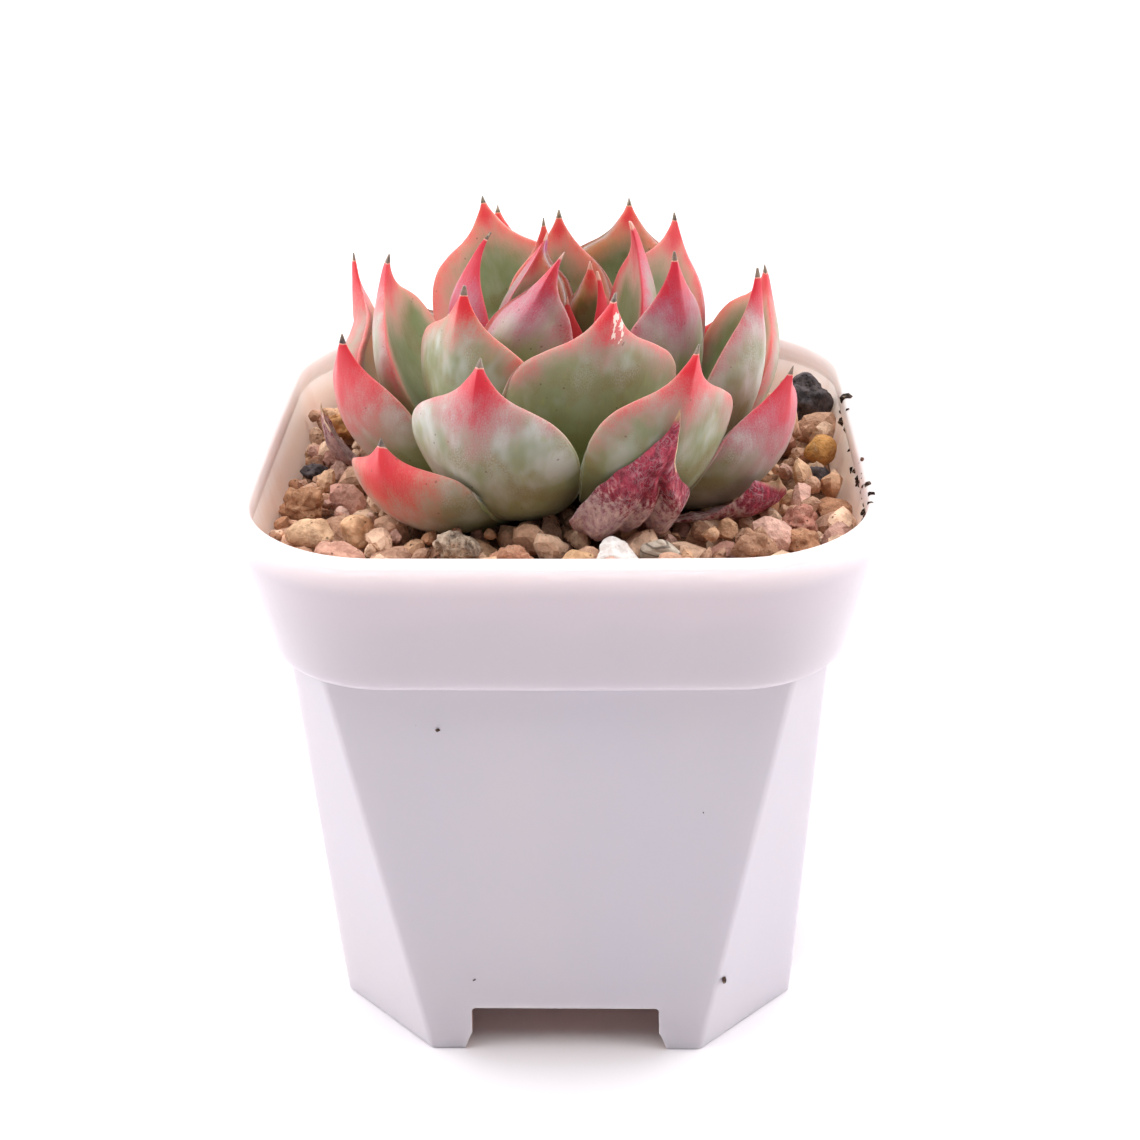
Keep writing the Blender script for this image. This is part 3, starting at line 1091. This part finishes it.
stone_materials = {
    "tan_stone": grit_material("broken_clay", 0.72),
    "lava": pebble_material("lava", paint(196, 176, 156), paint(116, 98, 86), 700.0, 0.8),
    "perlite": pebble_material("perlite", paint(254, 252, 250), paint(226, 216, 212), 600.0, 0.5),
    "grey_stone": striped_material(),
    "charcoal": pebble_material("charcoal", paint(104, 96, 98), paint(42, 36, 38), 500.0, 0.9),
}
stone_directions = ball_directions(STONE_RINGS, STONE_AROUND)
draw = np.random.default_rng(11)
# The middle of each stone, and the radius of a ball in it that keeps the small grains off.
named_stones = []
for name, (slot, lean, turn, faces, sharpness, rough, grain, colour) in STONES.items():
    low, high = (np.array(corner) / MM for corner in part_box(name))
    points = stone_points(stone_directions, low, high, lean, turn, faces, sharpness, rough, grain,
                          draw)
    points = special_shape(name, points, stone_directions)
    mesh = new_mesh("loose_" + name, points, wrap_faces(STONE_RINGS, STONE_AROUND), STONE_EDGE)
    write_tint(mesh, paint(*colour))
    add_piece(mesh, stone_materials[slot], slot, name)
    named_stones.append((*(low + high) / 2, 0.45 * (high - low).mean()))

# ---------------------------------------------------------------- the small grains
# Some seven hundred loose grains of the same broken clay, 2 to 6 mm across, poured round the
# plant until they lie one or two deep on the bed.

GRAIN_KINDS = {
    "tan_grains": ((236, 200, 174), (220, 178, 152), (244, 210, 182)),
    "ochre_grains": ((226, 182, 148), (214, 162, 128), (234, 192, 158)),
    "rose_grains": ((226, 182, 168), (208, 158, 144), (236, 196, 182)),
    "brown_grains": ((194, 154, 132), (170, 128, 106), (210, 168, 142)),
}
KIND_SHARES = (0.38, 0.2, 0.2, 0.22)
GRAIN_RADII = (0.8, 1.1, 1.5, 1.9, 2.3, 2.8)
GRAIN_SHARES = (0.20, 0.20, 0.20, 0.18, 0.14, 0.08)
GRAIN_RINGS, GRAIN_AROUND = 6, 9
GRAIN_EDGE, GRAIN_FACES, GRAIN_SHARPNESS = 14, 8, 30
DROPPED = 4600
# The fill line, the space inside the pot's wall, and how deep the grit goes on under a leaf.
GRAIN_TOP = 66.3
WALL_HALF, WALL_CORNER = 34.3, 15.0
UNDER_LEAF = 1.5
# Shares of a grain's radius: its solid core, its middle above the bed that it lies on, and how
# far its middle may stand above the fill line. Two grains touch at this share of their radii.
CORE, ABOVE_BED, ABOVE_FILL, CLOSE_PACKING = 0.8, 0.4, 0.35, 0.92
# How far its middle stays below a leaf. A small one may lie against the leaf's foot.
SMALL_GRAIN = 1.4
SMALL_BELOW, LARGE_BELOW = -0.4, 0.2


def inside_wall(x, y, margin):
    """Whether a place keeps this margin to the pot's inner wall, a square with round corners."""
    place = np.abs((x, y))
    corner = np.maximum(place - (WALL_HALF - WALL_CORNER), 0)
    return place.max() < WALL_HALF - margin and np.hypot(*corner) < WALL_CORNER - margin


def pour_grains(draw):
    """Drops grains one by one at random places. Each comes to rest on the bed or on the grains
    below it, and is left out if that is above the fill line, in the wall or in a leaf."""
    settled = np.array(named_stones)
    for _ in range(DROPPED):
        radius = draw.choice(GRAIN_RADII, p=GRAIN_SHARES)
        x, y = draw.uniform(-WALL_HALF, WALL_HALF, 2)
        if not inside_wall(x, y, CORE * radius):
            continue
        around = radius * np.array(((0, 0), (CORE, 0), (-CORE, 0), (0, CORE), (0, -CORE)))
        ceiling = lowest_leaf(x + around[:, 0], y + around[:, 1]).min()
        rest = max(min(BED_LEVEL, ceiling - UNDER_LEAF), BED_LEVEL - DEEPEST_HOLLOW)
        rest += ABOVE_BED * radius
        below_leaf = (SMALL_BELOW if radius < SMALL_GRAIN else LARGE_BELOW) * radius
        apart = np.hypot(settled[:, 0] - x, settled[:, 1] - y)
        touch = (settled[:, 3] + radius) * CLOSE_PACKING
        below = apart < touch
        if below.any():
            rest = max(rest, (settled[below, 2]
                              + np.sqrt(touch[below] ** 2 - apart[below] ** 2)).max())
        if rest > GRAIN_TOP + ABOVE_FILL * radius or rest > ceiling - below_leaf:
            continue
        settled = np.vstack([settled, (x, y, rest, radius)])
    return settled[len(named_stones):]


def grain_points(grains, directions, draw, shortest, longest):
    """Every grain at once: a ball broken along random faces, stretched along its own random axes
    and moved to its place."""
    count = len(grains)
    normals = unit(draw.normal(size=(count, GRAIN_FACES, 3)))
    distances = draw.uniform(0.5, 1.0, (count, GRAIN_FACES))
    reach = broken_radius(np.broadcast_to(directions, (count, *directions.shape)), normals,
                          distances, GRAIN_SHARPNESS)
    axes = np.linalg.qr(draw.normal(size=(count, 3, 3)))[0]
    axes *= np.sign(np.linalg.det(axes))[:, None, None]
    stretch = draw.uniform(shortest, longest, (count, 1, 3)) * grains[:, None, 3:]
    points = (directions * reach[..., None] * stretch) @ axes
    return points + grains[:, None, :3]


def add_grains(name, grains, colours, material, slot, draw, shortest=0.75, longest=1.45):
    """One piece of all the grains of a kind, each with one of its colours, lighter or darker."""
    directions = ball_directions(GRAIN_RINGS, GRAIN_AROUND)
    points = grain_points(grains, directions, draw, shortest, longest).reshape(-1, 3)
    shift = np.arange(len(grains))[:, None, None] * len(directions)
    faces = [(ball + shift).reshape(-1, ball.shape[1])
             for ball in wrap_faces(GRAIN_RINGS, GRAIN_AROUND)]
    mesh = new_mesh(name, points, faces, GRAIN_EDGE)
    palette = np.array([paint(*colour) for colour in colours])
    chosen = palette[draw.integers(len(palette), size=len(grains))]
    chosen[:, :3] *= draw.uniform(0.85, 1.15, (len(grains), 1))
    write_tint(mesh, np.repeat(chosen, len(directions), axis=0))
    add_piece(mesh, material, slot)


grains = pour_grains(draw)
kind_of = draw.choice(len(GRAIN_KINDS), size=len(grains), p=KIND_SHARES)
for number, (name, colours) in enumerate(GRAIN_KINDS.items()):
    add_grains(name, grains[kind_of == number], colours, stone_materials["tan_stone"],
               "tan_stone", draw)

# ---------------------------------------------------------------- soil crumbs
# Dark crumbs and bits of root left near the top of the pot's inner wall where it was filled:
# along the right wall, thickest towards its front, and along the right half of the back wall. A
# few specks are on the outside. They are dry soil, held on by nothing but the water that dried
# under them.

CRUMB_RADII = (0.14, 0.44)
# Specks on the front of the pot: x, y, z and radius.
OUTSIDE_SPECKS = np.array(((-13.9, -30.55, 47.7, 0.26), (-16.3, -30.5, 48.4, 0.14),
                           (16.6, -30.15, 36.4, 0.14), (-11.1, -29.25, 11.1, 0.22),
                           (19.6, -28.6, 10.9, 0.26), (11.2, -34.4, 59.8, 0.12),
                           (6.1, -34.3, 60.3, 0.12)))


def crumb_places(draw):
    """Crumbs on the inner wall: a place along the right or the back wall, and a height close
    under the lip. A crumb is a grain pressed on the wall: x, y, z and radius."""
    wall = POT_HALF - LIP + 0.35
    right = np.stack([draw.uniform(-21, 14, 40), draw.uniform(67, 72, 40)])
    clump = np.stack([draw.normal(-15, 3.5, 50), draw.uniform(67, 72, 50)])
    back = np.stack([draw.uniform(4, 22, 26), draw.uniform(66.5, 71, 26)])
    beside = np.hstack([right, clump])
    places = np.hstack([(np.full(90, wall), *beside), (back[0], np.full(26, wall), back[1])])
    return np.column_stack([*places, draw.uniform(*CRUMB_RADII, places.shape[1])])


crumbs = np.vstack([crumb_places(draw), OUTSIDE_SPECKS])
add_grains("soil_crumbs", crumbs, ((70, 52, 44), (104, 70, 56), (52, 40, 36)), grit, "grit", draw,
           shortest=0.3, longest=2.2)

# ---------------------------------------------------------------- the studio
# A plain white floor under soft light: a broad lamp above and behind, one on each side, and a
# bright even surround. The camera looks down on the rim from the front.

FLOOR_HALF = 1000.0
CAMERA_PLACE = (8.14, -225.54, 166.21)
CAMERA_YAW, CAMERA_PITCH, CAMERA_ROLL = 1.93, 26.68, -0.96
CAMERA_LENS, CAMERA_SENSOR = 63.08, 36.0


def add_floor():
    """A flat white square under the pot, out past every edge of the view."""
    corners = np.array(((-1, -1, 0), (1, -1, 0), (1, 1, 0), (-1, 1, 0))) * FLOOR_HALF
    material, _ = new_material("studio_floor", Roughness=0.55, Base_Color=paint(250, 246, 249))
    mesh = new_mesh("studio_floor", corners, [np.array([[0, 1, 2, 3]])])
    mesh.materials.append(material)
    linked("studio_floor", mesh)


def add_lamp(name, place, aim, size, power):
    """A square soft lamp at a place, turned towards a point; both in millimetres."""
    lamp = bpy.data.lights.new(name, "AREA")
    lamp.shape = "SQUARE"
    lamp.size = size * MM
    lamp.energy = power
    back = unit(np.subtract(place, aim))
    side = unit(np.cross((0, 1, 0), back))
    turn = Matrix(np.column_stack([side, np.cross(back, side), back]).tolist()).to_4x4()
    linked(name, lamp).matrix_world = Matrix.Translation([c * MM for c in place]) @ turn


def add_camera():
    """The camera: turned about Z, tipped down, and rolled about its own line of sight."""
    camera = bpy.data.cameras.new("camera")
    camera.lens = CAMERA_LENS
    camera.sensor_width = CAMERA_SENSOR
    camera.clip_start = 0.01
    holder = linked("camera", camera)
    holder.matrix_world = (
        Matrix.Translation([c * MM for c in CAMERA_PLACE])
        @ Matrix.Rotation(math.radians(CAMERA_YAW), 4, "Z")
        @ Matrix.Rotation(math.radians(90 - CAMERA_PITCH), 4, "X")
        @ Matrix.Rotation(math.radians(CAMERA_ROLL), 4, "Z"))
    bpy.context.scene.camera = holder


def add_surround():
    """Dim light from the front and the sides and bright light from behind, where a white wall
    would stand. The lens itself sees plain white."""
    world = bpy.data.worlds.new("surround")
    world.use_nodes = True
    tree = world.node_tree
    background = tree.nodes["Background"]
    background.inputs["Color"].default_value = (1.0, 0.98, 1.0, 1.0)
    behind = node(tree, "SeparateXYZ", node(tree, "TexCoord")).output("Y")
    lit = node(tree, "MapRange", behind, From_Min=-0.1, From_Max=0.7, To_Min=0.17, To_Max=0.93)
    connect(maths("MAXIMUM", node(tree, "LightPath"), lit), background.inputs["Strength"])
    bpy.context.scene.world = world


add_floor()
add_surround()
add_lamp("lamp_above", (0, 200, 2200), (0, 150, 0), 3000, 60.0)
add_lamp("lamp_left", (-1200, 200, 500), (0, 150, 50), 1500, 21.0)
add_lamp("lamp_right", (1200, 200, 500), (0, 150, 50), 1500, 20.5)
add_camera()
bpy.context.scene.view_settings.view_transform = "Standard"
